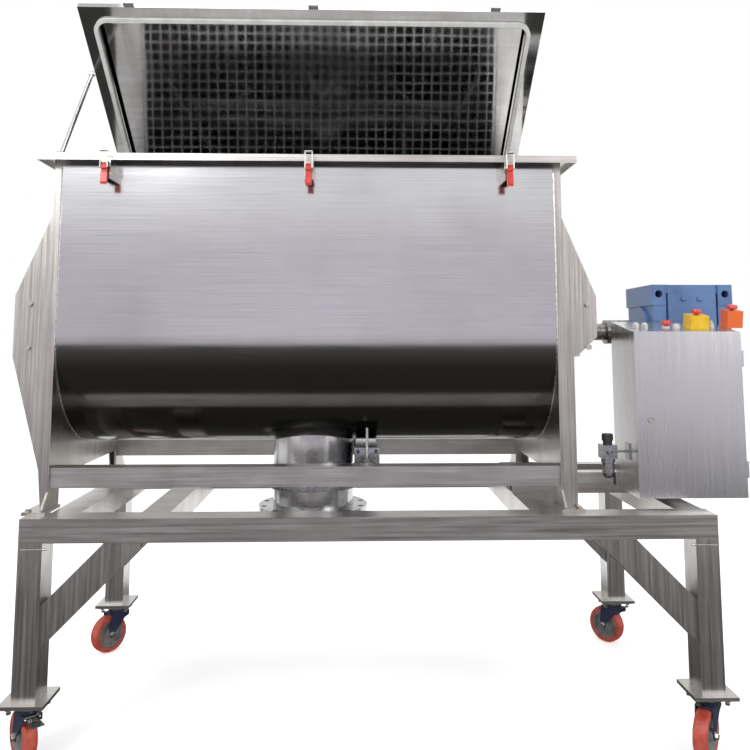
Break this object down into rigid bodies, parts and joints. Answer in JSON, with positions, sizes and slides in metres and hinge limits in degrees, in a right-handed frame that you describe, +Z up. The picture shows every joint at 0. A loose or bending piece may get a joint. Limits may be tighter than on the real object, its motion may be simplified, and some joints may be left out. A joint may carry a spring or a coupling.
{
  "type": "ribbon blender",
  "caption": "Industrial horizontal ribbon blender: U-shaped stainless trough with hinged lid, helical ribbon agitator, gear drive, control box and bottom outlet on a castored stand.",
  "frame": {"origin": "on the floor, under the middle of the machine's bounding box", "axes": "+X along the trough towards the drive and control box, +Y towards the lid hinge at the rear, +Z up"},
  "size_m": [2.75, 1.1626, 2.7261],
  "materials": {
    "steel": "brushed stainless steel, bright and lightly scratched",
    "zinc": "bright zinc plating",
    "navy_paint": "dark blue enamel",
    "tread_red": "red polyurethane tread on a grey core",
    "grip_red": "glossy red plastic",
    "blue_paint": "blue enamel on castings",
    "cast_black": "dark painted castings",
    "gasket_white": "white silicone, matt",
    "lamp_clear": "clear lens",
    "control_yellow": "yellow and orange plastic",
    "button_white": "white plastic",
    "valve_metal": "anodised and cast metal",
    "knob_black": "black plastic"
  },
  "bodies": {
    "machine": {"air_unit": "valve_metal", "base_crossbars": "steel", "caster_plates": "zinc", "control_box": "steel", "control_housings": "control_yellow", "discharge_spout": "steel", "drive_pedestal": "steel", "end_housing_left": "steel", "end_housing_right": "steel", "fasteners": "steel", "foot_plates": "steel", "gearbox": "blue_paint", "latch_bases": "steel", "motor": "blue_paint", "panel_lamps": "lamp_clear", "rim_brackets": "steel", "rim_flange": "steel", "safety_grid": "steel", "shaft_bearings": "cast_black", "stand_frame": "steel", "stand_legs": "steel", "trough_end_plates": "steel", "trough_shell": "steel", "valve_actuator": "valve_metal", "valve_body": "valve_metal"},
    "lid": {"lid_shell": "steel", "lid_gasket": "gasket_white", "lid_fittings": "steel"},
    "stay": {"lid_stay": "steel"},
    "rotor": {"main_shaft": "steel", "outer_ribbons": "steel", "inner_ribbons": "steel", "ribbon_spokes": "steel"},
    "handle_left": {"latch_handle_left": "grip_red"},
    "loop_left": {"latch_loop_left": "steel"},
    "handle_middle": {"latch_handle_middle": "grip_red"},
    "loop_middle": {"latch_loop_middle": "steel"},
    "handle_right": {"latch_handle_right": "grip_red"},
    "loop_right": {"latch_loop_right": "steel"},
    "fork_front_left": {"caster_fork_front_left": "navy_paint"},
    "wheel_front_left": {"caster_wheel_front_left": "tread_red"},
    "brake_front_left": {"caster_brake_front_left": "zinc"},
    "fork_front_right": {"caster_fork_front_right": "navy_paint"},
    "wheel_front_right": {"caster_wheel_front_right": "tread_red"},
    "brake_front_right": {"caster_brake_front_right": "zinc"},
    "fork_rear_left": {"caster_fork_rear_left": "navy_paint"},
    "wheel_rear_left": {"caster_wheel_rear_left": "tread_red"},
    "fork_rear_right": {"caster_fork_rear_right": "navy_paint"},
    "wheel_rear_right": {"caster_wheel_rear_right": "tread_red"},
    "door": {"box_door": "steel"},
    "lock": {"box_lock": "zinc"},
    "stop_mushroom_head": {"stop_mushroom": "grip_red"},
    "start_button_head": {"start_button": "button_white"},
    "emergency_stop_head": {"emergency_stop": "grip_red"},
    "side_stop_head": {"side_stop": "grip_red"},
    "selector": {"mode_selector": "button_white"},
    "disc": {"valve_disc": "steel"},
    "override": {"override_lever": "zinc"},
    "regulator": {"air_knob": "knob_black"}
  },
  "joints": [
    {"name": "lid_hinge", "type": "hinge", "parent": "machine", "child": "lid", "pos_m": [-0.33, 0.477, 2.109], "axis": [1, 0, 0], "range_deg": [0, 38.3]},
    {"name": "stay_hinge", "type": "hinge", "parent": "machine", "child": "stay", "pos_m": [-1.274, -0.348, 2.095], "axis": [1, 0, 0], "range_deg": [-54.54, 0]},
    {"name": "rotor_spin", "type": "hinge", "parent": "machine", "child": "rotor", "pos_m": [-0.33, 0, 1.435], "axis": [1, 0, 0], "continuous": true},
    {"name": "handle_left_hinge", "type": "hinge", "parent": "machine", "child": "handle_left", "pos_m": [-1.055, -0.514, 2.025], "axis": [1, 0, 0], "range_deg": [-110, 0]},
    {"name": "loop_left_hinge", "type": "hinge", "parent": "handle_left", "child": "loop_left", "pos_m": [-1.055, -0.525, 2.011], "axis": [1, 0, 0], "range_deg": [0, 110]},
    {"name": "handle_middle_hinge", "type": "hinge", "parent": "machine", "child": "handle_middle", "pos_m": [-0.33, -0.514, 2.025], "axis": [1, 0, 0], "range_deg": [-110, 0]},
    {"name": "loop_middle_hinge", "type": "hinge", "parent": "handle_middle", "child": "loop_middle", "pos_m": [-0.33, -0.525, 2.011], "axis": [1, 0, 0], "range_deg": [0, 110]},
    {"name": "handle_right_hinge", "type": "hinge", "parent": "machine", "child": "handle_right", "pos_m": [0.395, -0.514, 2.025], "axis": [1, 0, 0], "range_deg": [-110, 0]},
    {"name": "loop_right_hinge", "type": "hinge", "parent": "handle_right", "child": "loop_right", "pos_m": [0.395, -0.525, 2.011], "axis": [1, 0, 0], "range_deg": [0, 110]},
    {"name": "swivel_front_left", "type": "hinge", "parent": "machine", "child": "fork_front_left", "pos_m": [-1.25, -0.48, 0.19], "axis": [0, 0, 1], "continuous": true},
    {"name": "roll_front_left", "type": "hinge", "parent": "fork_front_left", "child": "wheel_front_left", "pos_m": [-1.27443, -0.45089, 0.08], "axis": [-0.766, -0.6428, 0], "continuous": true},
    {"name": "pedal_front_left", "type": "hinge", "parent": "fork_front_left", "child": "brake_front_left", "pos_m": [-1.22557, -0.50911, 0.156], "axis": [-0.766, -0.6428, 0], "range_deg": [-20, 0]},
    {"name": "swivel_front_right", "type": "hinge", "parent": "machine", "child": "fork_front_right", "pos_m": [1.05, -0.48, 0.19], "axis": [0, 0, 1], "continuous": true},
    {"name": "roll_front_right", "type": "hinge", "parent": "fork_front_right", "child": "wheel_front_right", "pos_m": [1.02557, -0.50911, 0.08], "axis": [0.766, -0.6428, 0], "continuous": true},
    {"name": "pedal_front_right", "type": "hinge", "parent": "fork_front_right", "child": "brake_front_right", "pos_m": [1.07443, -0.45089, 0.156], "axis": [0.766, -0.6428, 0], "range_deg": [-20, 0]},
    {"name": "swivel_rear_left", "type": "hinge", "parent": "machine", "child": "fork_rear_left", "pos_m": [-1.25, 0.48, 0.19], "axis": [0, 0, 1], "continuous": true},
    {"name": "roll_rear_left", "type": "hinge", "parent": "fork_rear_left", "child": "wheel_rear_left", "pos_m": [-1.27443, 0.45089, 0.08], "axis": [0.766, -0.6428, 0], "continuous": true},
    {"name": "swivel_rear_right", "type": "hinge", "parent": "machine", "child": "fork_rear_right", "pos_m": [1.05, 0.48, 0.19], "axis": [0, 0, 1], "continuous": true},
    {"name": "roll_rear_right", "type": "hinge", "parent": "fork_rear_right", "child": "wheel_rear_right", "pos_m": [1.02557, 0.50911, 0.08], "axis": [-0.766, -0.6428, 0], "continuous": true},
    {"name": "door_hinge", "type": "hinge", "parent": "machine", "child": "door", "pos_m": [1.275, -0.392, 1.131], "axis": [0, 0, 1], "range_deg": [0, 110]},
    {"name": "lock_turn", "type": "hinge", "parent": "door", "child": "lock", "pos_m": [0.92, -0.4, 1.11], "axis": [0, 1, 0], "range_deg": [0, 90]},
    {"name": "stop_mushroom_press", "type": "slide", "parent": "machine", "child": "stop_mushroom_head", "axis": [0, -0.1796, 0.9837], "range_m": [-0.004, 0], "stiffness_N_per_m": 600},
    {"name": "start_button_press", "type": "slide", "parent": "machine", "child": "start_button_head", "axis": [0, -0.1796, 0.9837], "range_m": [-0.004, 0], "stiffness_N_per_m": 600},
    {"name": "emergency_stop_press", "type": "slide", "parent": "machine", "child": "emergency_stop_head", "axis": [0, -0.1796, 0.9837], "range_m": [-0.004, 0], "stiffness_N_per_m": 600},
    {"name": "side_stop_press", "type": "slide", "parent": "machine", "child": "side_stop_head", "axis": [0, -0.1796, 0.9837], "range_m": [-0.004, 0], "stiffness_N_per_m": 600},
    {"name": "selector_turn", "type": "hinge", "parent": "machine", "child": "selector", "pos_m": [1.206, -0.29242, 1.45505], "axis": [0, -0.1796, 0.9837], "range_deg": [-45, 45]},
    {"name": "valve_turn", "type": "hinge", "parent": "machine", "child": "disc", "pos_m": [-0.33, 0, 0.852], "axis": [1, 0, 0], "range_deg": [0, 90]},
    {"name": "override_turn", "type": "hinge", "parent": "machine", "child": "override", "pos_m": [-0.115, -0.26, 0.945], "axis": [0, 1, 0], "range_deg": [-45, 45]},
    {"name": "regulator_turn", "type": "hinge", "parent": "machine", "child": "regulator", "pos_m": [0.79, -0.3, 1.02], "axis": [0, 0, 1], "range_deg": [-360, 360]}
  ],
  "couplings": [
    {"joint": "loop_left_hinge", "follows": "handle_left_hinge", "ratio": -1},
    {"joint": "loop_middle_hinge", "follows": "handle_middle_hinge", "ratio": -1},
    {"joint": "loop_right_hinge", "follows": "handle_right_hinge", "ratio": -1}
  ]
}
